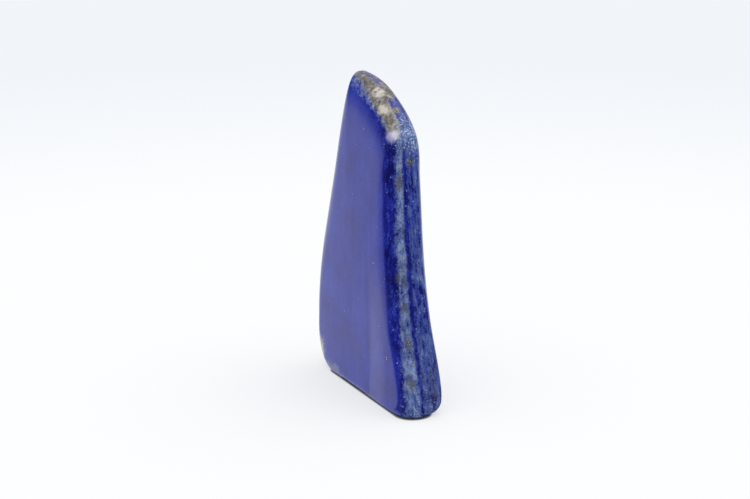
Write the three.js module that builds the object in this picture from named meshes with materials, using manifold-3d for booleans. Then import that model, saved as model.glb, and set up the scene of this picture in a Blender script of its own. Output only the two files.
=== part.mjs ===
// A polished freeform of lapis lazuli: one upright stone that stands on a base sawn flat.
// Millimetres, +Z up. The origin is on the ground, under the middle of the stone.
// X runs along the two broad faces, from the swelling back at -X to the narrow front edge at +X.
// Y runs through the stone's thickness.
import * as THREE from 'three';
import { mergeVertices } from 'three/addons/utils/BufferGeometryUtils.js';
import Module from 'manifold-3d';

// Side view before the base is sawn: the [x, z] points that one smooth closed outline passes through.
const OUTLINE = {
  heelUnder: [-18.3, -8.2],
  heel: [-32.9, 3.3],
  backLow: [-35.2, 18.4],
  backMiddle: [-33, 42.9],
  backHigh: [-22.3, 79.3],
  peak: [-11.9, 111.3],
  crest: [-10.2, 111.5],
  brow: [4.2, 109.1],
  shoulder: [21.7, 97.6],
  neck: [23.1, 84.7],
  waist: [25.4, 62],
  shin: [30.4, 30],
  toe: [37.9, 0.8],
  toeUnder: [31.6, -5.1],
};

// The point in the side view that both broad faces swell around.
const MIDDLE = new THREE.Vector3(0, 0, 45);

// Thickness from the middle plane out to a broad face, which swells by the crown towards its middle.
const HALF_THICKNESS_AT_BASE = 8.2;
const HALF_THICKNESS_AT_TOP = 5.9;
const CROWN = 0.7;

// Rounding between a broad face and the narrow edge: how far it reaches in from the outline,
// and how square its section is, where 2 is an ellipse.
const ROUNDING_RUN_AT_BASE = 9;
const ROUNDING_RUN_AT_TOP = 18;
const ROUNDING_POWER = 2.6;

// How late the change from base to top comes: 1 is even, more keeps it for the upper end.
const TAPER_POWER = 2.5;

// Facets around the outline, facets across it from one broad face to the other,
// and the share of those across that lie on the rounding.
const AROUND = 120;
const ACROSS = 32;
const ROUNDING_SHARE = 0.7;

// The block of waste that the saw takes away below the base.
const WASTE = new THREE.Vector3(120, 60, 40);

const LAPIS_BLUE = 0x2b3590;
const POLISH_ROUGHNESS = 0.2;

const { clamp, lerp } = THREE.MathUtils;

// Evenly spaced points on the outline, from under the heel up the back, over the top and down the front.
function spacedOutline() {
  const points = Object.values(OUTLINE).map(([x, z]) => new THREE.Vector3(x, 0, z));
  const curve = new THREE.CatmullRomCurve3(points, true, 'centripetal');
  return curve.getSpacedPoints(AROUND);
}

// A size that changes from the base of the stone to its top, at one share of its height.
function tapered(atBase, atTop, share) {
  return lerp(atBase, atTop, clamp(share, 0, 1) ** TAPER_POWER);
}

// Where a row of facets lies on the rounding: its share of the run in from the outline, and its share
// of the half thickness. The latitude is 0 on the narrow edge and 1 amid a broad face.
function roundingAt(latitude) {
  const turn = Math.min(latitude / ROUNDING_SHARE, 1) * Math.PI / 2;
  const along = Math.cos(turn);
  const out = Math.sin(turn);
  const stretch = (along ** ROUNDING_POWER + out ** ROUNDING_POWER) ** (-1 / ROUNDING_POWER);
  return { inset: 1 - along * stretch, rise: out * stretch };
}

// The point of the stone's surface that lies in from one outline point, on the side of one broad face.
function surfacePoint(edge, latitude, side, height) {
  const { inset, rise } = roundingAt(latitude);
  const run = tapered(ROUNDING_RUN_AT_BASE, ROUNDING_RUN_AT_TOP, edge.z / height);
  const acrossFace = Math.max(0, (latitude - ROUNDING_SHARE) / (1 - ROUNDING_SHARE));
  const inward = lerp(inset * run / edge.distanceTo(MIDDLE), 1, acrossFace);
  const point = edge.clone().lerp(MIDDLE, inward);
  const half = tapered(HALF_THICKNESS_AT_BASE, HALF_THICKNESS_AT_TOP, point.z / height);
  point.y = side * rise * (half + CROWN * inward * (2 - inward));
  return point;
}

// The whole rounded stone: a ball with its poles amid the broad faces, drawn out to the outline.
function roundedStone() {
  const outline = spacedOutline();
  const height = Math.max(...outline.map((point) => point.z));
  const ball = new THREE.SphereGeometry(1, AROUND, ACROSS);
  const { position } = ball.attributes;
  for (let i = 0; i < position.count; i++) {
    const edge = outline[i % outline.length];
    const latitude = 1 - 2 * Math.floor(i / outline.length) / ACROSS;
    const point = surfacePoint(edge, Math.abs(latitude), Math.sign(latitude), height);
    position.setXYZ(i, point.x, point.y, point.z);
  }
  return ball;
}

// The saw's waste: everything under the ground plane.
function wasteBelowBase() {
  return new THREE.BoxGeometry(WASTE.x, WASTE.y, WASTE.z).translate(0, 0, -WASTE.z / 2);
}

// A closed geometry as a solid that can be cut.
function toSolid(wasm, geometry) {
  geometry.deleteAttribute('normal');
  geometry.deleteAttribute('uv');
  const merged = mergeVertices(geometry);
  return new wasm.Manifold(new wasm.Mesh({
    numProp: 3,
    vertProperties: new Float32Array(merged.attributes.position.array),
    triVerts: new Uint32Array(merged.index.array),
  }));
}

// A cut solid as a geometry again, moved so that the origin is under its middle.
function toGeometry(solid) {
  const { vertProperties, triVerts } = solid.getMesh();
  const geometry = new THREE.BufferGeometry();
  geometry.setAttribute('position', new THREE.BufferAttribute(vertProperties, 3));
  geometry.setIndex(new THREE.BufferAttribute(triVerts, 1));
  geometry.computeBoundingBox();
  const middle = geometry.boundingBox.getCenter(new THREE.Vector3());
  geometry.translate(-middle.x, -middle.y, 0);
  geometry.computeVertexNormals();
  return geometry;
}

async function buildStone() {
  const wasm = await Module();
  wasm.setup();
  const sawn = toSolid(wasm, roundedStone()).subtract(toSolid(wasm, wasteBelowBase()));
  const polish = new THREE.MeshStandardMaterial({
    color: LAPIS_BLUE,
    roughness: POLISH_ROUGHNESS,
    metalness: 0,
  });
  const stone = new THREE.Mesh(toGeometry(sawn), polish);
  stone.name = 'stone';
  return stone;
}

const freeform = new THREE.Group();
freeform.add(await buildStone());

export default freeform;
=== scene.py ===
# %% [markdown]
# # A standing piece of polished lapis lazuli
# The real object is one lump of rock. A lapidary saws its underside flat so that it stands, grinds
# the rest to a soft, leaning slab and polishes it until it mirrors the room. Everything seen on it is
# colour inside the rock: blue lazurite, layers of grey and cream calcite, grains of gold pyrite.
# So this lesson makes one mesh, and one material that knows what lies where in the rock.
# The CAD model comes first, because it fixes the size and the place of everything that follows.

# %% Load the CAD frame
import math

import bpy
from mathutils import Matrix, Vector


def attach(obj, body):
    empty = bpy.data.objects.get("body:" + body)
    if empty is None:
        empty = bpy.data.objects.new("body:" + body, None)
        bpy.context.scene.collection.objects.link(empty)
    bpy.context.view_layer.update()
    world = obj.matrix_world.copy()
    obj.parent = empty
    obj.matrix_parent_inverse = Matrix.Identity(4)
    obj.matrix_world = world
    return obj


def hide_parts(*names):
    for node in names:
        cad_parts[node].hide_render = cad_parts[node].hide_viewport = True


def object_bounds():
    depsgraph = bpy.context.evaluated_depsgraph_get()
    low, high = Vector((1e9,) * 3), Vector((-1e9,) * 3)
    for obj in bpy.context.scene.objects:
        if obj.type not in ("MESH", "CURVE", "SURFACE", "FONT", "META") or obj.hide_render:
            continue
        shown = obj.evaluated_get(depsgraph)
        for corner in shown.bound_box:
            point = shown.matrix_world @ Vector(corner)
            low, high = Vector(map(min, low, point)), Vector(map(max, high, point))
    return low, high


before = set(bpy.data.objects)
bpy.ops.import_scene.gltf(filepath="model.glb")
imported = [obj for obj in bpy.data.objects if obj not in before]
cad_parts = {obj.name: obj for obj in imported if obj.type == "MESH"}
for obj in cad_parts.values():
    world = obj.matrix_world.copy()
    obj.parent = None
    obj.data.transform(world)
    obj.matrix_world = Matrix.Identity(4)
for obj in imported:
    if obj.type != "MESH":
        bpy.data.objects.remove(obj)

MM = 0.001
cad_low, cad_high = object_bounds()
print("CAD box in mm:", [round(side / MM, 1) for side in cad_high - cad_low])

# %% [markdown]
# ## The outline
# Seen from its broad side the stone has a swelling back, a slanted top, a front edge that leans back
# and a foot that flares. It could be drawn as a dense polygon, but a curve with few points is easier
# to correct. Each point is a place where the outline turns. The curve also runs under the ground,
# where the saw later takes the stone off flat.

# %% Outline points
OUTLINE_MM = {
    "heel under": (-18.3, -8.2),
    "heel": (-32.9, 3.3),
    "back low": (-35.2, 18.4),
    "back middle": (-33.0, 42.9),
    "back high": (-22.3, 79.3),
    "peak": (-11.9, 111.3),
    "crest": (-10.2, 111.5),
    "brow": (4.2, 109.1),
    "shoulder": (21.7, 97.6),
    "neck": (23.1, 84.7),
    "waist": (25.4, 62.0),
    "shin": (30.4, 30.0),
    "toe": (37.9, 0.8),
    "toe under": (31.6, -5.1),
}
STEPS_BETWEEN_POINTS = 48


def outline_curve(points_mm):
    """A closed Bezier curve through the points, with handles set as in a centripetal spline."""
    points = [Vector((x, 0, z)) * MM for x, z in points_mm]
    curve = bpy.data.curves.new("outline", "CURVE")
    curve.dimensions = "3D"
    spline = curve.splines.new("BEZIER")
    spline.bezier_points.add(len(points) - 1)
    spline.use_cyclic_u = True
    spline.resolution_u = STEPS_BETWEEN_POINTS
    for index, knot in enumerate(spline.bezier_points):
        before, here, after = points[index - 1], points[index], points[(index + 1) % len(points)]
        time_in = math.sqrt((here - before).length)
        time_out = math.sqrt((after - here).length)
        speed = (here - before) / time_in + (after - here) / time_out
        speed -= (after - before) / (time_in + time_out)
        knot.handle_left_type = "FREE"
        knot.handle_right_type = "FREE"
        knot.co = here
        knot.handle_left = here - speed * time_in / 3
        knot.handle_right = here + speed * time_out / 3
    return curve


outline = bpy.data.objects.new("outline", outline_curve(OUTLINE_MM.values()))
bpy.context.scene.collection.objects.link(outline)
print("outline points:", len(OUTLINE_MM))

# %% [markdown]
# ## Formulas as nodes
# Both the shape and the rock are formulas, and Blender writes a formula as many small Math nodes.
# Placing them one by one is slow to read and easy to get wrong. A helper class keeps that readable:
# a Wire stands for one value in a node tree, and ordinary sums on wires add the nodes.
# The same helper serves Geometry Nodes, the material and the sky.

# %% Nodes and sockets


def plug(value, socket):
    """Connects a wire to a socket, or types a plain value into it."""
    if isinstance(value, Wire):
        value.tree.links.new(value.socket, socket)
    else:
        socket.default_value = value


def add_node(tree, kind, inputs=None, **settings):
    """Adds a node, with its settings, and with wires or plain values in its inputs."""
    node = tree.nodes.new(kind)
    for name, value in settings.items():
        setattr(node, name, value)
    for key, value in (inputs or {}).items():
        plug(value, node.inputs[key])
    return node


print("node helpers:", plug.__name__, "and", add_node.__name__)

# %% Wires


class Wire:
    """One value that travels through a node tree."""

    def __init__(self, socket):
        self.socket = socket
        self.tree = socket.id_data

    def math(self, operation, *values):
        node = add_node(self.tree, "ShaderNodeMath", dict(enumerate(values)), operation=operation)
        return Wire(node.outputs[0])

    def __add__(self, other):
        return self.math("ADD", self, other)

    def __sub__(self, other):
        return self.math("SUBTRACT", self, other)

    def __rsub__(self, other):
        return self.math("SUBTRACT", other, self)

    def __mul__(self, other):
        return self.math("MULTIPLY", self, other)

    def __truediv__(self, other):
        return self.math("DIVIDE", self, other)

    def __rtruediv__(self, other):
        return self.math("DIVIDE", other, self)

    def __pow__(self, other):
        return self.math("POWER", self, other)

    def __abs__(self):
        return self.math("ABSOLUTE", self)

    def at_least(self, other):
        return self.math("MAXIMUM", self, other)

    def at_most(self, other):
        return self.math("MINIMUM", self, other)

    def parts(self):
        """The x, y and z of a vector, as three wires."""
        return [Wire(out) for out in add_node(self.tree, "ShaderNodeSeparateXYZ", {0: self}).outputs]

    def step(self, low, high):
        """0 at low and 1 at high, changing softly between them and staying so beyond them."""
        inputs = {"Value": self, "From Min": low, "From Max": high}
        node = add_node(self.tree, "ShaderNodeMapRange", inputs, interpolation_type="SMOOTHSTEP")
        return Wire(node.outputs[0])

    def blend(self, at_zero, at_one):
        """Goes from one number to another as this wire goes from 0 to 1."""
        return self * (at_one - at_zero) + at_zero


def vector(tree, x, y, z):
    return Wire(add_node(tree, "ShaderNodeCombineXYZ", {"X": x, "Y": y, "Z": z}).outputs[0])


print("besides sums, a wire has:", ", ".join(name for name in vars(Wire) if not name.startswith("_")))

# %% [markdown]
# ## The stone's shape
# The slab follows one rule. Start at a point of the outline, on the narrow edge. Walk inward over the
# rounding until the broad face is reached, then on to the middle of that face. Doing so from every
# outline point, on both sides, sweeps the whole stone. A sculpted or subdivided block would only come
# near it, so Geometry Nodes carry out the rule itself. Its sizes are named inputs of the tree, like
# the dimensions on a drawing, so that each can be changed by itself.

# %% Sizes of the stone
lapis = bpy.data.materials.new("polished_lapis")
SIZES = {
    "Columns": 561,
    "Rows": 125,
    "Middle": (0, 0, 45 * MM),
    "Height": cad_high.z - cad_low.z,
    "Half thickness at base": 8.2 * MM,
    "Half thickness at top": 5.9 * MM,
    "Crown": 0.7 * MM,
    "Rounding run at base": 9 * MM,
    "Rounding run at top": 18 * MM,
    "Rounding power": 2.6,
    "Rounding share": 0.7,
    "Taper power": 2.5,
    "Half length": 33 * MM,
    "Saw edge": 0.2 * MM,
    "Worn height": 1.2 * MM,
    "Worn height at corners": 4.6 * MM,
    "Worn depth": 2.4 * MM,
    "Toe corner from": 36 * MM,
    "Toe corner to": 44 * MM,
    "Heel corner from": -19 * MM,
    "Heel corner to": -31 * MM,
    "Wave height": 0.1 * MM,
    "Wave length": 28 * MM,
    "Finish": lapis,
}
SOCKET_KINDS = {int: "NodeSocketInt", float: "NodeSocketFloat", tuple: "NodeSocketVector"}


def new_shape_tree(name, sizes):
    """An empty Geometry Nodes tree with a curve input, one named input for each size, and an output."""
    tree = bpy.data.node_groups.new(name, "GeometryNodeTree")
    tree.interface.new_socket("Outline", in_out="INPUT", socket_type="NodeSocketGeometry")
    for label, value in sizes.items():
        kind = SOCKET_KINDS.get(type(value), "NodeSocketMaterial")
        tree.interface.new_socket(label, in_out="INPUT", socket_type=kind)
    tree.interface.new_socket("Stone", in_out="OUTPUT", socket_type="NodeSocketGeometry")
    return tree


print("sizes given to the shape:", ", ".join(SIZES))

# %% [markdown]
# ## The rounding
# Between a broad face and the narrow edge the real stone turns through a full, squarish curve, ground
# by rolling it on the wheel. A Bevel modifier would give that curve one width everywhere. Here it is
# an ellipse with a higher power, and it grows wider and the stone thinner towards the top.

# %% Rounding and taper
QUARTER_TURN = math.pi / 2


def squared_ellipse(latitude, share, power):
    """Shares of the run inward and of the rise outward, from the narrow edge up to the broad face."""
    turn = (latitude / share).at_most(1) * QUARTER_TURN
    along = turn.math("COSINE", turn).at_least(0)
    out = turn.math("SINE", turn)
    stretch = (along**power + out**power) ** (-1 / power)
    return 1 - along * stretch, out * stretch


def tapered(at_base, at_top, share, power):
    """A size that changes from the base of the stone to its top."""
    amount = share.at_least(0).at_most(1) ** power
    return amount * (at_top - at_base) + at_base


print("rounding: an ellipse of power", SIZES["Rounding power"], "where 2 is a plain one")

# %% [markdown]
# ## Saw cut and worn rim
# The underside is sawn flat. Sanding then wears its sharp rim round, most of all at the heel and at
# the far corner of the toe. A Boolean cut and a bevel would break the even rows of faces. So heights
# under the ground are pressed to zero, and what lies just above it is drawn in along an ellipse.

# %% Saw cut and wear
TOE_SLANT = 1.5


def pressed_flat(z, soft):
    """Heights under the ground become 0, with a soft change."""
    amount = ((z + soft) / (soft * 2)).at_least(0).at_most(1)
    return amount * amount * soft + (z - soft).at_least(0)


def worn_in(z, height, depth):
    """How far the surface is drawn in near the ground, as on a quarter of an ellipse."""
    left = (1 - z / height).at_least(0)
    return (1 - (1 - left * left) ** 0.5) * depth


def sawn_and_worn(given, x, y, z, half):
    """Where saw and sanding leave a point of the unsawn stone."""
    z = pressed_flat(z, given["Saw edge"])
    toe = (x + y * TOE_SLANT).step(given["Toe corner from"], given["Toe corner to"])
    heel = x.step(given["Heel corner from"], given["Heel corner to"])
    more_worn = given["Worn height at corners"] - given["Worn height"]
    worn_height = toe.at_least(heel) * more_worn + given["Worn height"]
    drawn_in = worn_in(z, worn_height, given["Worn depth"])
    middle_x = given["Middle"].parts()[0]
    x = x - (x - middle_x) * drawn_in / given["Half length"]
    return x, y - y * drawn_in / half, z


print("rim worn to a height in mm of", [round(SIZES[key] / MM, 1) for key in SIZES if "Worn height" in key])

# %% [markdown]
# ## The polishing wave
# Hand polishing leaves a long, very low wave on the faces, and it makes their reflections live. A bump
# in the material would only shade it, so the points themselves move along their normals. The wave
# fades out at the base, which has to stay flat. Another move centres the stone over the origin.

# %% Moves of the whole stone
WAVE_FADE = 8 * MM


def set_position(tree, stone, way, place):
    return Wire(add_node(tree, "GeometryNodeSetPosition", {"Geometry": stone, way: place}).outputs[0])


def to_middle(tree, stone):
    """The move that puts the middle of the stone over the origin."""
    box = add_node(tree, "GeometryNodeBoundBox", {"Geometry": stone})
    low_x, low_y, _ = Wire(box.outputs["Min"]).parts()
    high_x, high_y, _ = Wire(box.outputs["Max"]).parts()
    return vector(tree, (low_x + high_x) * -0.5, (low_y + high_y) * -0.5, 0)


def polishing_wave(tree, height, length):
    """A low wave along the surface normals."""
    place = Wire(add_node(tree, "GeometryNodeInputPosition").outputs[0])
    normal = Wire(add_node(tree, "GeometryNodeInputNormal").outputs[0])
    swell = add_node(tree, "ShaderNodeTexNoise", {"Vector": place, "Scale": 1 / length, "Detail": 1.0})
    fade = place.parts()[2].step(0, WAVE_FADE)
    rise = (Wire(swell.outputs[0]) - 0.5) * 2 * height * fade
    moved = add_node(tree, "ShaderNodeVectorMath", {0: normal, "Scale": rise}, operation="SCALE")
    return Wire(moved.outputs["Vector"])


print("wave fades out over the lowest", round(WAVE_FADE / MM, 1), "mm")

# %% [markdown]
# ## A flat map of the surface
# To carry the rock's pattern to other programs it can be baked onto a sheet, and for that every face
# needs its own place on the sheet. Smart UV Project would cut the stone into many scraps. The sweep
# knows how far each point lies from the middle of its face, so each broad face is pressed out flat
# together with its rounding, and the two lie side by side.

# %% The flat map of the stone
BAKE_MAP = "OFBake"
MAP_SHEET = 172 * MM
MAP_MARGIN = (43 * MM, 14 * MM)
ARC_SHARE = 0.83


def flat_reach(share, latitude, across_face, gap, run, half):
    """How far out from the middle of its face a point lies on the map, in units of the outline's gap."""
    rounding = (1 - (latitude / share).at_most(1)) * (run + half) * ARC_SHARE
    return ((1 - across_face) * (gap - run) + rounding) / gap


def unrolled(tree, across, edge, middle, reach):
    """Each broad face, with its rounding pressed out flat, side by side on one sheet."""
    on_face = add_node(tree, "GeometryNodeFieldOnDomain", {0: across}, domain="FACE", data_type="FLOAT")
    side = Wire(on_face.outputs[0])
    far_side = side.math("GREATER_THAN", side, 0)
    right = (edge[0] - middle[0]) * reach + middle[0] + MAP_MARGIN[0] + far_side * (MAP_SHEET / 2)
    up = (edge[1] - middle[1]) * reach + middle[1] + MAP_MARGIN[1]
    return vector(tree, right / MAP_SHEET, up / MAP_SHEET, 0)


def store_map(tree, mesh, places):
    inputs = {"Geometry": mesh, "Name": BAKE_MAP, "Value": places}
    kind = "GeometryNodeStoreNamedAttribute"
    return Wire(add_node(tree, kind, inputs, data_type="FLOAT2", domain="CORNER").outputs[0])


print("flat map", BAKE_MAP, "on a sheet", round(MAP_SHEET / MM), "mm wide")

# %% [markdown]
# ## The rule as a tree
# The stone starts as a flat sheet of points. One way the sheet runs around the outline. The other way
# it runs from the middle of one broad face, over the narrow edge, to the middle of the other. Each
# point is moved to its place on the stone, and Merge by Distance closes the seam and the two middles.
# A lofted surface would need a section at every height. The sheet needs none, and its rows of faces
# lie closest on the rounding, where the reflections bend most.

# %% A sheet around the stone
ROW_SPREAD = 1.6


def flat_sheet(tree, given):
    """A grid, with each point's share of the way around the outline and of the way across the stone."""
    counts = {"Size X": 1.0, "Size Y": 1.0, "Vertices X": given["Columns"], "Vertices Y": given["Rows"]}
    grid = Wire(add_node(tree, "GeometryNodeMeshGrid", counts).outputs["Mesh"])
    column, row, _ = Wire(add_node(tree, "GeometryNodeInputPosition").outputs[0]).parts()
    return grid, column + 0.5, row * 2


def outline_point(tree, given, around):
    """The point of the outline, and its gap to the middle of the broad face."""
    inputs = {"Curves": given["Outline"], "Factor": around}
    sample = add_node(tree, "GeometryNodeSampleCurve", inputs, mode="FACTOR", use_all_curves=True)
    edge = Wire(sample.outputs["Position"])
    gap = add_node(tree, "ShaderNodeVectorMath", {0: edge, 1: given["Middle"]}, operation="DISTANCE")
    return edge, Wire(gap.outputs["Value"])


def walk_inward(given, latitude, edge_z, gap):
    """The shares of the way in, of the rise and of the way across the face, and the rounding's run."""
    share = given["Rounding share"]
    inset, rise = squared_ellipse(latitude, share, given["Rounding power"])
    at_base, at_top = given["Rounding run at base"], given["Rounding run at top"]
    run = tapered(at_base, at_top, edge_z / given["Height"], given["Taper power"])
    start = inset * run / gap
    across_face = ((latitude - share) / (1 - share)).at_least(0) ** ROW_SPREAD
    return across_face * (1 - start) + start, rise, across_face, run


print("sheet of", SIZES["Columns"], "by", SIZES["Rows"], "points")

# %% The rule as a tree
SEAM_GAP = 0.001 * MM


def closed_stone(tree, given, sheet, place):
    """Moves the sheet into place, closes it, centres it and gives it the polishing wave."""
    stone = set_position(tree, sheet, "Position", place)
    joined = add_node(tree, "GeometryNodeMergeByDistance", {"Geometry": stone, "Distance": SEAM_GAP})
    stone = Wire(joined.outputs["Geometry"])
    stone = set_position(tree, stone, "Offset", to_middle(tree, stone))
    wave = polishing_wave(tree, given["Wave height"], given["Wave length"])
    return set_position(tree, stone, "Offset", wave)


def stone_tree(sizes):
    """The whole rule: outline in, closed stone out."""
    tree = new_shape_tree("stone_from_outline", sizes)
    given = {out.name: Wire(out) for out in tree.nodes.new("NodeGroupInput").outputs if out.name}
    sheet, around, across = flat_sheet(tree, given)
    edge, gap = outline_point(tree, given, around)
    edge_x, _, edge_z = edge.parts()
    middle_x, _, middle_z = given["Middle"].parts()

    latitude = abs(across)
    inward, rise, across_face, run = walk_inward(given, latitude, edge_z, gap)
    x = (middle_x - edge_x) * inward + edge_x
    z = (middle_z - edge_z) * inward + edge_z
    at_base, at_top = given["Half thickness at base"], given["Half thickness at top"]
    half = tapered(at_base, at_top, z / given["Height"], given["Taper power"])
    y = across.math("SIGN", across) * rise * (half + given["Crown"] * inward * (2 - inward))
    place = vector(tree, *sawn_and_worn(given, x, y, z, half))

    reach = flat_reach(given["Rounding share"], latitude, across_face, gap, run, half)
    flat = unrolled(tree, across, (edge_x, edge_z), (middle_x, middle_z), reach)
    stone = closed_stone(tree, given, store_map(tree, sheet, flat), place)
    stone = Wire(add_node(tree, "GeometryNodeSetShadeSmooth", {"Geometry": stone}).outputs[0])
    stone = Wire(add_node(tree, "GeometryNodeRealizeInstances", {"Geometry": stone}).outputs[0])
    finished = add_node(tree, "GeometryNodeSetMaterial", {"Geometry": stone, "Material": given["Finish"]})
    plug(Wire(finished.outputs[0]), tree.nodes.new("NodeGroupOutput").inputs[0])
    return tree


shape_rule = stone_tree(SIZES)
print("shape rule:", len(shape_rule.nodes), "nodes")

# %% [markdown]
# ## Sweep the stone
# The tree runs as a modifier on the outline. It could stay live, but the later steps want a plain mesh
# that no longer depends on a curve. So the result is copied out once and the outline is removed.

# %% Sweep the stone


def swept_mesh(host, tree, sizes):
    """Runs the tree on the outline and keeps the result as a plain mesh."""
    modifier = host.modifiers.new("sweep", "NODES")
    modifier.node_group = tree
    for socket in tree.interface.items_tree:
        if socket.name in sizes:
            modifier[socket.identifier] = sizes[socket.name]
    evaluated = host.evaluated_get(bpy.context.evaluated_depsgraph_get())
    mesh = bpy.data.meshes.new_from_object(evaluated)
    bpy.data.objects.remove(host)
    return mesh


stone = bpy.data.objects.new("polished_stone", swept_mesh(outline, shape_rule, SIZES))
bpy.context.scene.collection.objects.link(stone)
triangles = sum(len(face.vertices) - 2 for face in stone.data.polygons)
print("stone:", triangles, "triangles, size in mm", [round(side / MM, 1) for side in stone.dimensions])

# %% [markdown]
# ## Where things lie in the rock
# Lapis is a layered rock. The layers lie along the broad faces, so they show as stripes on the narrow
# edge and as one colour on the broad faces. A painted texture would have to be matched at every
# corner. A solid pattern in three dimensions does that by itself, as if the stone were cut from it.
# The pattern reads Object coordinates, turned to millimetres, so every size below is a real size.
# A pair of numbers, such as FRONT further down, holds the start and the end of a soft step.

# %% Coordinates in the rock
SEED_STEP = (17.3, 9.1, 5.7)
lapis.use_nodes = True
rock = lapis.node_tree
rock.nodes.clear()
metres = Wire(add_node(rock, "ShaderNodeTexCoord").outputs["Object"])
place = Wire(add_node(rock, "ShaderNodeMapping", {"Vector": metres, "Scale": (1 / MM,) * 3}).outputs[0])
x, y, z = place.parts()


def drawn_out(size, stretch, seed):
    """The place in the rock counted in patches of one size in mm, drawn out along the axes."""
    scale = [1 / (size * factor) for factor in stretch]
    shift = [seed * step for step in SEED_STEP]
    node = add_node(rock, "ShaderNodeMapping", {"Vector": place, "Scale": scale, "Location": shift})
    return Wire(node.outputs[0])


def noise(size, seed, detail=2.0, roughness=0.5, stretch=(1, 1, 1)):
    """Soft random patches, between about -0.3 and 0.3."""
    inputs = {"Vector": drawn_out(size, stretch, seed), "Scale": 1.0}
    inputs |= {"Detail": detail, "Roughness": roughness}
    return Wire(add_node(rock, "ShaderNodeTexNoise", inputs).outputs["Fac"]) - 0.5


RIPPLE_HEIGHT = 1.6
bend = noise(22, seed=1, stretch=(1, 1, 2))
ripple = noise(2.5, seed=2, detail=3.0, stretch=(1, 1, 3))
depth = y + bend + ripple * RIPPLE_HEIGHT
print("rock coordinates in mm, layers counted by their depth along Y")

# %% [markdown]
# ## Laying one colour over another
# Each mineral is laid over what is already there, as glazes are. A Mix node lays one colour over
# another by an amount, and a Color Ramp turns a number into a colour. One colour per mineral would look
# like paint, so most amounts and ramps below are driven by noise.

# %% Mixing colours


def mix(amount, under, over):
    """One colour over another."""
    node = add_node(amount.tree, "ShaderNodeMix", data_type="RGBA")
    for key, value in ((0, amount), (6, under), (7, over)):
        plug(value, node.inputs[key])
    return Wire(node.outputs[2])


def ramp(value, stops):
    """A colour for each value, from a row of stops."""
    node = add_node(value.tree, "ShaderNodeValToRGB", {0: value})
    row = node.color_ramp.elements
    while len(row) < len(stops):
        row.new(1.0)
    for element, (position, colour) in zip(row, stops.items()):
        element.position = position
        element.color = colour
    return Wire(node.outputs["Color"])


print("colour helpers:", mix.__name__, "and", ramp.__name__)

# %% [markdown]
# ## The blue ground
# Lazurite is an even ultramarine, but never quite one colour: it has cloudy depth, fine streaks along
# the layers and a sandy grain. One noise could give only one of these, so noises of several sizes are
# added and drive one ramp of blues. They are stronger on the narrow front edge, which cuts the layers.

# %% Sides of the stone
FRONT_LEAN = 0.2
FRONT = (24, 29)
EDGE_RIM = (-0.1, 0.9)
base_half = SIZES["Half thickness at base"] / MM
top_half = SIZES["Half thickness at top"] / MM
height = cad_high.z / MM
half_thickness = tapered(base_half, top_half, z / height, SIZES["Taper power"])
narrow_edge = (half_thickness - abs(y)).step(*EDGE_RIM)
front_edge = narrow_edge * (x + z * FRONT_LEAN).step(*FRONT)
print("narrow edge told from the faces by a half thickness of", round(top_half, 1), "to", round(base_half, 1))

# %% Blue lazurite
BLUES = {
    0.1: (0.0035, 0.0045, 0.11, 1),
    0.45: (0.009, 0.015, 0.28, 1),
    0.8: (0.02, 0.042, 0.42, 1),
}
clouds = noise(12, seed=3, detail=3.0)
lines = noise(0.9, seed=4, detail=3.0, roughness=0.6, stretch=(1, 1, 8))
sand = noise(0.55, seed=5, detail=3.0, roughness=0.7, stretch=(1, 1, 1.4))
patches = noise(2.4, seed=9, detail=3.0, roughness=0.6, stretch=(1, 1, 1.5))
tone = clouds * 0.7 + lines * front_edge.blend(0.2, 1.2) + sand * front_edge.blend(0.5, 1.6)
# The last term paints the broad face a lighter blue, as painted light, and the narrow front edge a darker
# one, partly its own deep layer and partly painted shade.
tone = tone + patches * front_edge * 1.2 + front_edge.blend(0.53, 0.29)
colour = ramp(tone, BLUES)
print("blue ground laid, in", len(BLUES), "blues")

# %% [markdown]
# ## Haze and painted sheen on the broad face
# A faint pale haze lies in streaks over the blue. Low down at the front of the broad face a painted
# sheen, a lighter band of the lilac reflection, is laid into the colour. A lighter blue in the ramp
# would spread everywhere. Limits in x, y and z keep it there.

# %% Pale haze and painted sheen
HAZE_AND_SHEEN = (0.42, 0.42, 0.62, 1)
PAINTED_SHEEN_BACK = (8.4, 12.4)
PAINTED_SHEEN_FRONT = (26, 16)
PAINTED_SHEEN_TOP = (54, 30)
NEAR_FACE = (-6, -7)
PAINTED_SHEEN_AMOUNT = 0.13
STREAK_AMOUNT = 0.1
SAND_AMOUNT = 0.03
streaks = noise(5, seed=6, stretch=(1, 1, 9))
# This band is a painted sheen: a lighter patch of the broad face's lilac reflection, laid into the colour.
painted_sheen = (x + streaks * 9).step(*PAINTED_SHEEN_BACK) * x.step(*PAINTED_SHEEN_FRONT) * z.step(*PAINTED_SHEEN_TOP) * y.step(*NEAR_FACE)
haze_and_sheen = painted_sheen * PAINTED_SHEEN_AMOUNT + (streaks * STREAK_AMOUNT + sand * SAND_AMOUNT).at_least(0)
colour = mix(haze_and_sheen, colour, HAZE_AND_SHEEN)
print("haze laid up to a height of", PAINTED_SHEEN_TOP[0], "mm")

# %% [markdown]
# ## Calcite layers
# Calcite grew between the blue layers as countless small crystals. On the narrow edge it shows as one
# grey stripe with ragged sides, and beyond a dark blue gap as a streaky, cloudy mottle with one thin
# bluer line in it. A stripe drawn with sharp sides would look painted. So each layer first says how
# much calcite it holds, and patches, strands and sand are added to that.

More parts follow.
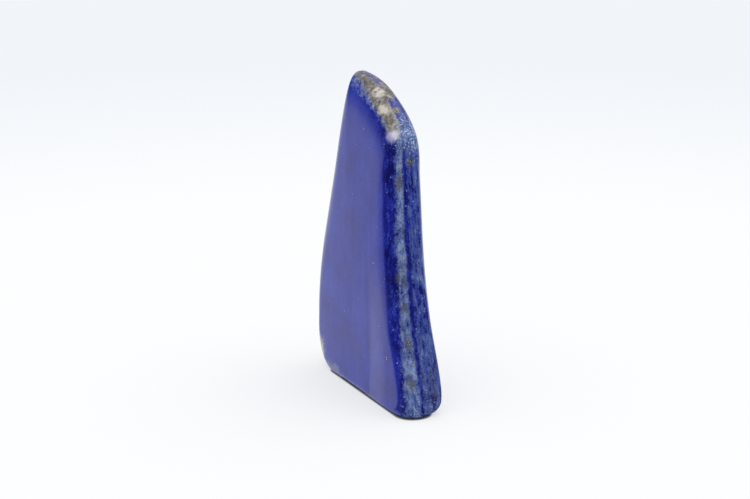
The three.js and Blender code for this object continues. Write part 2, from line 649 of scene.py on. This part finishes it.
# %% Where calcite lies
STRIPE_LEVEL = 80
STRIPE_LEAN = 0.0225
STRIPE_NEAR = -4.0
STRIPE_FAR = (-1.0, -2.1)
STRIPE_RIM = (-0.8, 0.8)
WIDER_BELOW = (30, 12)
WIDER_BY = 1.2
FAINTER_BELOW = (12, 1)
MOTTLE_FROM = (-0.7, 0.4)
LINE_NEAR = (1.2, 1.8)
LINE_FAR = (2.6, 2.0)
FILLED_BELOW = (46, 14)
FILLED_FROM = (-7.5, -6.0)
ragged = patches * 1.8 + sand * 1.2
near_side = (z - STRIPE_LEVEL) * STRIPE_LEAN + STRIPE_NEAR - z.step(*WIDER_BELOW) * WIDER_BY
first = (depth + ragged * 0.5 - near_side).step(*STRIPE_RIM) * (depth + ragged * 0.3).step(*STRIPE_FAR)
first = first * z.step(*FAINTER_BELOW).blend(1, 0.6)
beyond = depth.step(*MOTTLE_FROM) * narrow_edge.blend(0.55, 1)
thin_line = depth.step(*LINE_NEAR) * depth.step(*LINE_FAR)
mottle = noise(3.6, seed=12, detail=3.0, roughness=0.6, stretch=(1, 1, 1.6))
strands = noise(0.8, seed=13, stretch=(1, 1, 16))
filled = z.step(*FILLED_BELOW) * depth.step(*FILLED_FROM) * (1 - first) * (1 - beyond) * narrow_edge
held = first * (mottle * 0.5 + 0.58)
held = held + (beyond - thin_line * 0.3) * (mottle * 1.1 + strands * 0.7 + 0.30) + filled * 0.14
print("grey stripe begins", -STRIPE_NEAR, "mm from the middle plane at a height of", STRIPE_LEVEL, "mm")

# %% [markdown]
# ## Grains of the stripes
# Close up, the stripes are single crystals, each a little lighter or darker than the next. Voronoi
# cells give every crystal its own shade. With the streaks and the sand it decides where blue turns to
# grey, so that a stripe is made of grains. A little olive lies where the calcite is stained.

# %% Grey stripes
GREY_BLUE = (0.05, 0.082, 0.30, 1)
PALE_GREY = (0.23, 0.31, 0.53, 1)
OLIVE_GREY = (0.12, 0.13, 0.13, 1)
GREY_FROM = (0.04, 0.40)
PALE_FROM = (0.36, 0.95)
CRYSTAL = 0.45
LOW_DOWN = (34, 14)


def grains(size, seed, stretch=(1, 1, 1), metric="EUCLIDEAN"):
    """Scattered grains: the distance to the nearest, and two random numbers that belong to it."""
    inputs = {"Vector": drawn_out(size, stretch, seed), "Scale": 1.0}
    node = add_node(rock, "ShaderNodeTexVoronoi", inputs, distance=metric)
    chance, shade, _ = Wire(node.outputs["Color"]).parts()
    return Wire(node.outputs["Distance"]), chance, shade


_, _, crystal_shade = grains(CRYSTAL, seed=8, stretch=(1, 1, 1.4))
low_down = z.step(*LOW_DOWN)
uneven = lines * 0.9 + patches * 2.2 + sand * 1.9 + (crystal_shade - 0.5) * 0.3
held = held + beyond * low_down * 0.06 + uneven * narrow_edge * (first * 0.3 + 0.34)
colour = mix(held.step(*GREY_FROM), colour, GREY_BLUE)
colour = mix(held.step(*PALE_FROM), colour, PALE_GREY)
stained = first.at_least(beyond * low_down * 0.8) * (mottle * -1.6 + sand * 1.6 + patches + 0.12)
colour = mix(stained.at_least(0), colour, OLIVE_GREY)
print("stripes laid, of crystals about", CRYSTAL, "mm wide")

# %% [markdown]
# ## Olive stains
# Weathered pyrite has stained the rock olive brown in a few places on the narrow edge. Noise could
# scatter stains, but these are few and easily seen, so each has its own place and radii in mm. A ragged
# rim and sandy gaps keep them from looking like dots.

# %% Olive stains
OLIVE = (0.075, 0.077, 0.058, 1)
STAINS = {
    (21.4, 1.4, 86.0): (1.5, 1.5, 2.4),
    (21.7, -2.7, 79.6): (1.9, 1.8, 3.4),
    (24.8, -4.4, 47.0): (1.2, 1.1, 2.2),
    (25.6, -2.8, 45.5): (1.4, 1.3, 2.8),
    (26.9, -3.3, 37.0): (1.5, 1.4, 2.6),
    (29.8, -2.9, 25.0): (1.5, 1.5, 2.6),
    (33.9, -4.2, 12.3): (2.0, 1.8, 3.4),
}
LUMP_RIM = (1.3, 0.4)


def lumps(centres):
    """1 in the middle of each lump around a point of the rock, fading to 0 over a ragged rim."""
    together = None
    for centre, radii in centres.items():
        scale = [1 / radius for radius in radii]
        shift = [-middle / radius for middle, radius in zip(centre, radii)]
        node = add_node(rock, "ShaderNodeMapping", {"Vector": place, "Scale": scale, "Location": shift})
        length = add_node(rock, "ShaderNodeVectorMath", {0: Wire(node.outputs[0])}, operation="LENGTH")
        length = Wire(length.outputs["Value"])
        together = length if together is None else together.at_most(length)
    return (together + ragged).step(*LUMP_RIM)


stain = lumps(STAINS)
colour = mix(stain * (sand * 4.0 + patches * 2.0 + 0.6).at_least(0).at_most(0.9), colour, OLIVE)
print(len(STAINS), "olive stains laid")

# %% [markdown]
# ## Tan calcite on the top
# The slanted top cuts through a pocket of calcite, stained tan and brown, with two cream lumps in it.
# Its near edge follows the rim of the broad face and curves away at the peak. A second part lies along
# the far rim. Both could be painted on the mesh, but then they would end at the surface. As regions of
# the rock, with crumbly noise on their limits, they look cut through.

# %% Where the cap lies
NEAR_LIMIT = 4.9
CURVES_FROM = 103
CURVE = 0.035
CRUMBLY = (-0.5, 0.4)
STRIP_FAR = (-0.9, -2.1)
STRIP_FOOT = (93, 97)
RIM_LEVEL = 107.6
RIM_NEAR = (-2.6, -1.4)
RIM_FOOT = (105.0, 106.4)
FAR_LIMIT = (4.4, 3.4)
PEAK_FROM = (106.5, 108.5)
PEAK_AMOUNT = 0.45
CREAM_LUMPS = {
    (5.1, -2.2, 106.9): (3.2, 1.9, 2.2),
    (12.3, -3.7, 102.6): (3.3, 1.3, 1.7),
}
BROWN_LUMPS = {(15.2, -0.5, 102.8): (2.2, 1.3, 1.6)}
crumbs = noise(1.3, seed=11, detail=2.5, roughness=0.6)
wander = patches * 4 + crumbs * 2
from_near = y + crumbs * 1.2 + NEAR_LIMIT - (z - CURVES_FROM).at_least(0) ** 2 * CURVE
within_near = from_near.step(*CRUMBLY)
within_far = (y + wander).step(*FAR_LIMIT)
strip = within_near * (y + patches * 3).step(*STRIP_FAR) * z.step(*STRIP_FOOT)
rim = (y + patches * 2 - (z - RIM_LEVEL).at_least(0) * 2).step(*RIM_NEAR)
rim = rim * (z + wander).step(*RIM_FOOT) * within_far
between = z.step(*PEAK_FROM) * within_near * within_far * PEAK_AMOUNT
cream = lumps(CREAM_LUMPS)
cap = strip.at_least(rim).at_least(lumps(BROWN_LUMPS)).at_least(cream).at_least(between)
print("cap lies above", STRIP_FOOT[0], "mm, with", len(CREAM_LUMPS), "cream lumps")

# %% Tan cap
CALCITE = {
    0.0: (0.04, 0.038, 0.037, 1),
    0.3: (0.10, 0.095, 0.086, 1),
    0.55: (0.22, 0.202, 0.18, 1),
    0.8: (0.39, 0.35, 0.305, 1),
    1.0: (0.62, 0.565, 0.50, 1),
}
DARKER_FROM = (105, 109)
CAP_RIM = (0.2, 0.8)
calcite = (cap * (crumbs * 1.6 + patches * 1.6 + 1.1)).step(*CAP_RIM)
blotches = crumbs * 1.2 + patches * 1.1 + sand * 0.6 + (crystal_shade - 0.5) * 0.2
blotches = blotches + cream * 0.58 - z.step(*DARKER_FROM) * 0.1
colour = mix(calcite, colour, ramp(blotches + 0.52, CALCITE))
print("tan calcite laid, in", len(CALCITE), "tones")

# %% [markdown]
# ## Pale calcite at the heel, and a painted highlight at the shoulder
# Where the calcite is clean it is white. One such lump ends the cap at the shoulder, with a painted
# highlight over it that runs on in lilac over the blue beside it. A thin cream skin is left at the heel.
# They are lumps like the stains. The heel's is laid thinly, so that the blue still shows under it.

# %% Heel, white lump and painted highlight
HEEL_WHITE = (0.30, 0.33, 0.42, 1)
HEEL_CREAM = (0.62, 0.55, 0.47, 1)
HEEL_PATCH = {(-22, -8.4, 1.6): (10, 2.5, 2.8), (-31, -6, 6): (6, 5, 6)}
HEEL_RIM = {(-30.5, -6.5, 6.5): (3.5, 3, 6)}
WHITE_AND_HIGHLIGHT = (0.74, 0.73, 0.78, 1)
LILAC_HIGHLIGHT = (0.50, 0.48, 0.70, 1)
WHITE_AND_HIGHLIGHT_LUMPS = {(20.2, -3.4, 95.5): (2.0, 1.5, 1.6)}
LILAC_HIGHLIGHT_LUMPS = {(19.2, -4.7, 94.6): (2.2, 1.7, 2.1)}
HEEL_WHITE_AMOUNT = 0.45
HEEL_CREAM_AMOUNT = 0.7
colour = mix(lumps(HEEL_PATCH) * HEEL_WHITE_AMOUNT, colour, HEEL_WHITE)
colour = mix(lumps(HEEL_RIM) * HEEL_CREAM_AMOUNT, colour, HEEL_CREAM)
# The white lump is calcite with a painted highlight over it; the lilac lump beside it is a painted highlight
# on the blue.
white_and_highlight = lumps(WHITE_AND_HIGHLIGHT_LUMPS)
colour = mix(lumps(LILAC_HIGHLIGHT_LUMPS) * (sand * 1.5 + 0.75).at_most(1), colour, LILAC_HIGHLIGHT)
colour = mix(white_and_highlight * (sand * 1.5 + crumbs + 0.85).at_most(1), colour, WHITE_AND_HIGHLIGHT)
calcite = calcite.at_least(white_and_highlight)
# The lumps counted here include the white and lilac lumps of painted highlight.
print("pale calcite laid in", len(HEEL_PATCH) + len(HEEL_RIM) + len(WHITE_AND_HIGHLIGHT_LUMPS) + len(LILAC_HIGHLIGHT_LUMPS), "lumps")

# %% [markdown]
# ## Pale blue flecks
# Where calcite and lazurite mix, the blue breaks up into pale flecks: on the shoulder, at the toe and
# as a fringe along the cap. Tiny meshes would be raised, and these are only colour. So they are Voronoi
# cells again: one number of each cell decides whether it holds a fleck, another how big and bright.

# %% Pale blue flecks
FLECK_BLUES = {0.0: (0.08, 0.14, 0.40, 1), 1.0: (0.50, 0.62, 0.80, 1)}
SHOULDER_BLUE = (0.19, 0.27, 0.46, 1)
CROWDED = {(20.7, 1.8, 95.5): (7, 6, 8), (36.0, -2.0, 3.0): (6, 8, 4)}
UPPER_HALF = (20, 60)
FRINGE_NEAR = (-0.7, -0.35)
FRINGE_FAR = (0.2, -0.2)
FLECK = 0.6
FLECK_CHOICE = (-0.02, 0.02)
FLECK_RIM = (-0.2, 0.2)
crowd = lumps(CROWDED)
shoulder = crowd * z.step(*UPPER_HALF)
fringe = from_near.step(*FRINGE_NEAR) * from_near.step(*FRINGE_FAR) * z.step(*STRIP_FOOT)
colour = mix(shoulder * (patches * 2.5 + sand * 1.5 + 0.35).at_least(0), colour, SHOULDER_BLUE)
colour = mix(fringe * (patches * 2.5 + sand * 2.0 + 0.3).at_least(0).at_most(0.7), colour, SHOULDER_BLUE)
distance, chance, shade = grains(FLECK, seed=23)
crowding = crowd * 0.45 + shoulder * 0.3 + fringe * 0.25 + cap * 0.05 + front_edge * 0.05
fleck = (crowding + patches * crowd * 2 - chance).step(*FLECK_CHOICE)
fleck = fleck * (shade * 0.3 + crowd * 0.2 + 0.1 - distance - sand * 2.0 + patches).step(*FLECK_RIM)
colour = mix(fleck * (shoulder * 0.45 + 0.45) * (1 - white_and_highlight), colour, ramp(shade + sand, FLECK_BLUES))
print("pale flecks laid, crowding in", len(CROWDED), "places")

# %% [markdown]
# ## Pyrite
# Pyrite is metal and so shines gold. It sits in small clusters, mostly in the stains, with a few stray
# grains between. Loose metal grains would stand out of the polish, and real ones are ground flush. So
# they are cells once more, but measured by the Chebychev distance, which gives them straight sides, as
# pyrite's cubes have.

# %% Pyrite
GOLD = (0.46, 0.43, 0.30, 1)
GRAIN = 0.5
GRAIN_CHOICE = (-0.002, 0.002)
GRAIN_RIM = (-0.1, 0.1)
STRAY_FROM = (-3, -1.5)
CLUSTERS = {
    (21.4, 1.4, 86.2): 1.3,
    (21.4, -2.0, 85.8): 0.9,
    (21.7, -2.7, 80.1): 1.2,
    (24.5, -2.9, 53.2): 1.1,
    (29.8, -2.9, 25.1): 1.0,
    (32.0, -2.2, 18.9): 0.9,
    (14.1, -8.3, 50.0): 0.9,
    (17.8, -8.6, 28.9): 0.7,
    (24.3, -8.5, 19.4): 0.7,
}
cluster = lumps({centre: (radius,) * 3 for centre, radius in CLUSTERS.items()})
distance, chance, shade = grains(GRAIN, seed=24, stretch=(1, 1, 1.3), metric="CHEBYCHEV")
scattered = first * 0.003 + y.step(*STRAY_FROM) * 0.004 + cap * 0.01
pyrite = (cluster * 0.5 + scattered - chance).step(*GRAIN_CHOICE)
pyrite = pyrite * (shade * 0.25 + 0.22 - distance).step(*GRAIN_RIM)
colour = mix(pyrite, colour, GOLD)
print("pyrite laid, in", len(CLUSTERS), "clusters")

# %% [markdown]
# ## The polish
# The blue rock takes a high polish, calcite a little less, pyrite less again. A separate shader for each
# mineral would need mixing. One Principled BSDF is enough: the pattern drives its colour, metal and
# roughness, and a very fine bump keeps the mirror from looking like glass.

# %% Surface of the stone
STONE_IOR = 1.4
METAL = 0.5
BUMP_STRENGTH = 0.08
BUMP_DISTANCE = 0.05 * MM
POLISH = 0.2
bump_height = sand + held * 0.4 + calcite * 0.5
bump = add_node(rock, "ShaderNodeBump", {"Height": bump_height})
bump.inputs["Strength"].default_value = BUMP_STRENGTH
bump.inputs["Distance"].default_value = BUMP_DISTANCE
roughness = lines * 0.05 + clouds * 0.05 + POLISH + held * 0.08 + calcite * 0.14 + pyrite * 0.12
surface = add_node(rock, "ShaderNodeBsdfPrincipled")
surface.inputs["IOR"].default_value = STONE_IOR
plug(colour, surface.inputs["Base Color"])
plug(pyrite * METAL, surface.inputs["Metallic"])
plug(roughness, surface.inputs["Roughness"])
plug(Wire(bump.outputs[0]), surface.inputs["Normal"])
plug(Wire(surface.outputs[0]), add_node(rock, "ShaderNodeOutputMaterial").inputs["Surface"])
print("rock pattern:", len(rock.nodes), "nodes")

# %% [markdown]
# ## The studio floor
# A polished stone shows its surroundings, so the studio is part of its look. The floor is a pale sheet
# lit from below, as on a light table, and the broad face mirrors it as a lilac sheen. Lamps alone would
# leave a wide soft shadow. Here the glow is taken off under the stone's foot and a little past it, a
# painted contact shadow that draws a thin dark line along the base. The paper is also painted brighter
# near the stone and dimmer far off, a painted pool of light.

# %% Matt materials


def matt(name):
    """A new material with no shine, and its shader."""
    material = bpy.data.materials.new(name)
    material.use_nodes = True
    shader = material.node_tree.nodes["Principled BSDF"]
    shader.inputs["Roughness"].default_value = 1.0
    shader.inputs["Specular IOR Level"].default_value = 0.0
    return material, shader


def fading(spot, near, far, fade, axes):
    """A colour that goes from one tone to another away from the stone."""
    along = add_node(spot.tree, "ShaderNodeVectorMath", {0: spot, 1: axes}, operation="MULTIPLY")
    away = add_node(spot.tree, "ShaderNodeVectorMath", {0: Wire(along.outputs[0])}, operation="LENGTH")
    return mix(Wire(away.outputs["Value"]).step(*fade), near, far)


def spot_on(material):
    """The place on a piece, in its own coordinates."""
    return Wire(add_node(material.node_tree, "ShaderNodeTexCoord").outputs["Object"])


print("helpers for matt paper and cloth:", matt.__name__, fading.__name__, spot_on.__name__)

# %% Floor
FLOOR_RADIUS = 3.0
FLOOR_CORNERS = 96
PAPER_IN_PAINTED_LIGHT = (0.97, 0.98, 0.985, 1)
PAPER_OUT_OF_PAINTED_LIGHT = (0.87, 0.90, 0.94, 1)
PAINTED_LIGHT_FADE = (0.18, 0.70)
GLOW = 0.59
SHARE_LIT = 0.37
CONTACT_SHADOW_MIDDLE = (4.7 * MM, -1.6 * MM)
CONTACT_SHADOW_HALF = (31.8 * MM, 6.4 * MM)
CONTACT_SHADOW_ROUND = 6.3 * MM
CONTACT_SHADOW_RIM = (-0.3 * MM, 0.7 * MM)


def glowing_paper():
    """Paper on a light table, painted brighter near the stone: it glows from below, save for a painted
    contact shadow under the stone's foot and just past it.
    """
    material, shader = matt("pale_paper")
    spot = spot_on(material)
    # The paper's tone, and with it the glow, falls off away from the stone: a painted pool of light.
    tone = fading(spot, PAPER_IN_PAINTED_LIGHT, PAPER_OUT_OF_PAINTED_LIGHT, PAINTED_LIGHT_FADE, axes=(1, 1, 0))
    dulled = add_node(spot.tree, "ShaderNodeVectorMath", {0: tone, "Scale": SHARE_LIT}, operation="SCALE")
    across, along, _ = spot.parts()
    # The glow is taken off inside a rounded box a little larger than the foot: a painted contact shadow.
    past_x = (abs(across - CONTACT_SHADOW_MIDDLE[0]) - (CONTACT_SHADOW_HALF[0] - CONTACT_SHADOW_ROUND)).at_least(0)
    past_y = (abs(along - CONTACT_SHADOW_MIDDLE[1]) - (CONTACT_SHADOW_HALF[1] - CONTACT_SHADOW_ROUND)).at_least(0)
    outside_contact_shadow = (past_x * past_x + past_y * past_y) ** 0.5 - CONTACT_SHADOW_ROUND
    plug(Wire(dulled.outputs["Vector"]), shader.inputs["Base Color"])
    plug(tone, shader.inputs["Emission Color"])
    plug(outside_contact_shadow.step(*CONTACT_SHADOW_RIM) * GLOW, shader.inputs["Emission Strength"])
    return material


def new_piece(name, corners, faces, material):
    """A mesh object from its corners and faces."""
    mesh = bpy.data.meshes.new(name)
    mesh.from_pydata(corners, [], faces)
    mesh.materials.append(material)
    piece = bpy.data.objects.new(name, mesh)
    bpy.context.scene.collection.objects.link(piece)
    return piece


turns = [2 * math.pi * corner / FLOOR_CORNERS for corner in range(FLOOR_CORNERS)]
floor_rim = [(FLOOR_RADIUS * math.cos(turn), FLOOR_RADIUS * math.sin(turn), 0) for turn in turns]
floor = new_piece("floor", floor_rim, [range(FLOOR_CORNERS)], glowing_paper())
print("floor radius in m:", FLOOR_RADIUS)

# %% [markdown]
# ## Cards for the reflections
# In a product photo, cards beside the camera decide what a polished thing mirrors. A black card near
# the front keeps the narrow edge deep blue, and its edge is the sharp end of the sheen. A wide, far
# card shades from pale below to grey above, so the sheen darkens towards the top. Lamps and a painted
# gradient would not move with the view. The cards are seen by reflections alone.

# %% Cards
CARD_STEPS = 48
CARD_LIFT = 1 * MM
BLACK_CLOTH = (0.01, 0.01, 0.012, 1)
SHADED_PAPER = (0.82, 0.84, 0.87, 1)
GREY_CLOTH = (0.12, 0.12, 0.13, 1)
SHADE_FADE = (0.3, 4.4)
SHADE_AXES = (1, 1, 10)
FRONT_EDGE = (29.2 * MM, -6 * MM)


def curved_card(name, cloth, centre, inner, outer, height, start, end):
    """A card that curves around a point, with a foot on the floor. Only reflections see it."""
    turns = [math.radians(start + (end - start) * step / CARD_STEPS) for step in range(CARD_STEPS + 1)]
    ways = [(math.cos(turn), math.sin(turn)) for turn in turns]
    rims = [(inner, CARD_LIFT), (outer, CARD_LIFT), (outer, height)]
    corners = [(centre[0] + r * cx, centre[1] + r * cy, level) for r, level in rims for cx, cy in ways]
    row = len(turns)
    firsts = [step + row * rim for rim in range(len(rims) - 1) for step in range(CARD_STEPS)]
    card = new_piece(name, corners, [(i, i + 1, i + row + 1, i + row) for i in firsts], cloth)
    card.visible_camera = False
    card.visible_diffuse = False
    card.visible_shadow = False
    return card


black, black_shader = matt("black_cloth")
black_shader.inputs["Base Color"].default_value = BLACK_CLOTH
shaded, shaded_shader = matt("shaded_paper")
shades = fading(spot_on(shaded), SHADED_PAPER, GREY_CLOTH, SHADE_FADE, SHADE_AXES)
plug(shades, shaded_shader.inputs["Base Color"])
near_reach = {"inner": 4 * MM, "outer": 130 * MM, "height": 110 * MM, "start": 242, "end": 470}
far_reach = {"inner": 0.45, "outer": 2.4, "height": 0.8, "start": 160, "end": 290}
near_card = curved_card("near_card", black, FRONT_EDGE, **near_reach)
far_card = curved_card("far_card", shaded, (0, 0), **far_reach)
print("cards:", near_card.name, far_card.name)

# %% [markdown]
# ## The sky
# The light is that of a white tent: bright at the horizon, a dimmer belt above it, brightest overhead
# and a little more from the far side. Area lamps would show in the polish as hard rectangles, so the
# world itself is the lamp. What the camera sees behind the stone is a plain pale backdrop.

# %% Sky
BACKDROP = (0.87, 0.905, 0.94, 1)
WHITE_LIGHT = (0.99, 0.995, 1.0, 1)
HORIZON_LIGHT = 0.9
BELT_LIGHT = 0.45
TOP_LIGHT = 0.8
KEY_LIGHT = 0.6
BELT = (0.0, 0.42)
OVERHEAD = (0.4, 0.85)
KEY_SIDE = Vector((0, 0.2, 0.9)).normalized()
KEY_SPREAD = (0.6, 1.0)


def soft_dome():
    """White light from overhead and the far side, with a dimmer belt between sky and horizon."""
    world = bpy.data.worlds.new("soft_dome")
    world.use_nodes = True
    sky = world.node_tree
    sky.nodes.clear()
    way = Wire(add_node(sky, "ShaderNodeTexCoord").outputs["Generated"])
    up = way.parts()[2]
    facing = add_node(sky, "ShaderNodeVectorMath", {0: way, 1: KEY_SIDE}, operation="DOT_PRODUCT")
    light = up.step(*BELT).blend(HORIZON_LIGHT, BELT_LIGHT) + up.step(*OVERHEAD) * TOP_LIGHT
    light = light + Wire(facing.outputs["Value"]).step(*KEY_SPREAD) * KEY_LIGHT
    lit = Wire(add_node(sky, "ShaderNodeBackground", {"Color": WHITE_LIGHT, "Strength": light}).outputs[0])
    seen = Wire(add_node(sky, "ShaderNodeBackground", {"Color": BACKDROP, "Strength": 1.0}).outputs[0])
    direct = Wire(add_node(sky, "ShaderNodeLightPath").outputs["Is Camera Ray"])
    shown = add_node(sky, "ShaderNodeMixShader", {0: direct, 1: lit, 2: seen})
    plug(Wire(shown.outputs[0]), add_node(sky, "ShaderNodeOutputWorld").inputs["Surface"])
    return world


scene = bpy.context.scene
scene.world = soft_dome()
scene.view_settings.view_transform = "Standard"
print("light at the horizon, in the belt and overhead:", HORIZON_LIGHT, BELT_LIGHT, BELT_LIGHT + TOP_LIGHT)

# %% [markdown]
# ## The camera
# The stone is seen from a little above, past its narrow front edge, so that one broad face runs away
# to the left. A short lens from nearby would show the same sides, but spread the upright lines. A long
# lens from farther off keeps them nearly parallel.

# %% Camera
AZIMUTH = math.radians(64)
ELEVATION = math.radians(15.48)
CAMERA_DISTANCE = 664.3 * MM
AIM = Vector((-2.2, 0, 49.94)) * MM
LENS_MM = 91.2
SENSOR_MM = 36
NEAREST_SEEN = 0.01

away = Vector((math.sin(AZIMUTH), -math.cos(AZIMUTH), math.tan(ELEVATION))).normalized()
camera = bpy.data.objects.new("camera", bpy.data.cameras.new("camera"))
camera.data.lens = LENS_MM
camera.data.sensor_width = SENSOR_MM
camera.data.clip_start = NEAREST_SEEN
camera.location = AIM + away * CAMERA_DISTANCE
camera.rotation_euler = away.to_track_quat("Z", "Y").to_euler()
scene.collection.objects.link(camera)
scene.camera = camera
print("camera at", [round(side / MM) for side in camera.location], "mm")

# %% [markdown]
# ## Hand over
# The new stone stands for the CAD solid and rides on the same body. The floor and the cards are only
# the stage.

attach(stone, "root")
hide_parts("stone")
print("piece:", stone.name, "and on the stage:", floor.name, near_card.name, far_card.name)
